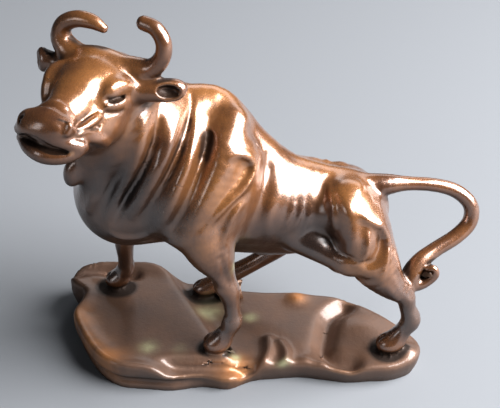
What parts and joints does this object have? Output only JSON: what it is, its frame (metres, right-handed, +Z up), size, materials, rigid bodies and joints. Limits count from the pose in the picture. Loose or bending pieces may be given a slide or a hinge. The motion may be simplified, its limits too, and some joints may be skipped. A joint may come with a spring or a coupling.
{
  "type": "bull figurine",
  "caption": "Small cast bronze bull with inward-curving horns, folded neck and looped tail, standing on a rocky base cast with it.",
  "frame": {"origin": "centre of the casting's box, on the floor under the base", "axes": "+X towards the bull's tail, so its body faces -X; +Y towards its right side; +Z up. The head is turned to the bull's left, towards -Y."},
  "size_m": [0.0716, 0.0376, 0.0665],
  "materials": {
    "patinated_bronze": "glossy brown patina, rubbed bright on the high places, with a little verdigris"
  },
  "bodies": {
    "root": {"bull_on_rock_base": "patinated_bronze"}
  },
  "joints": []
}
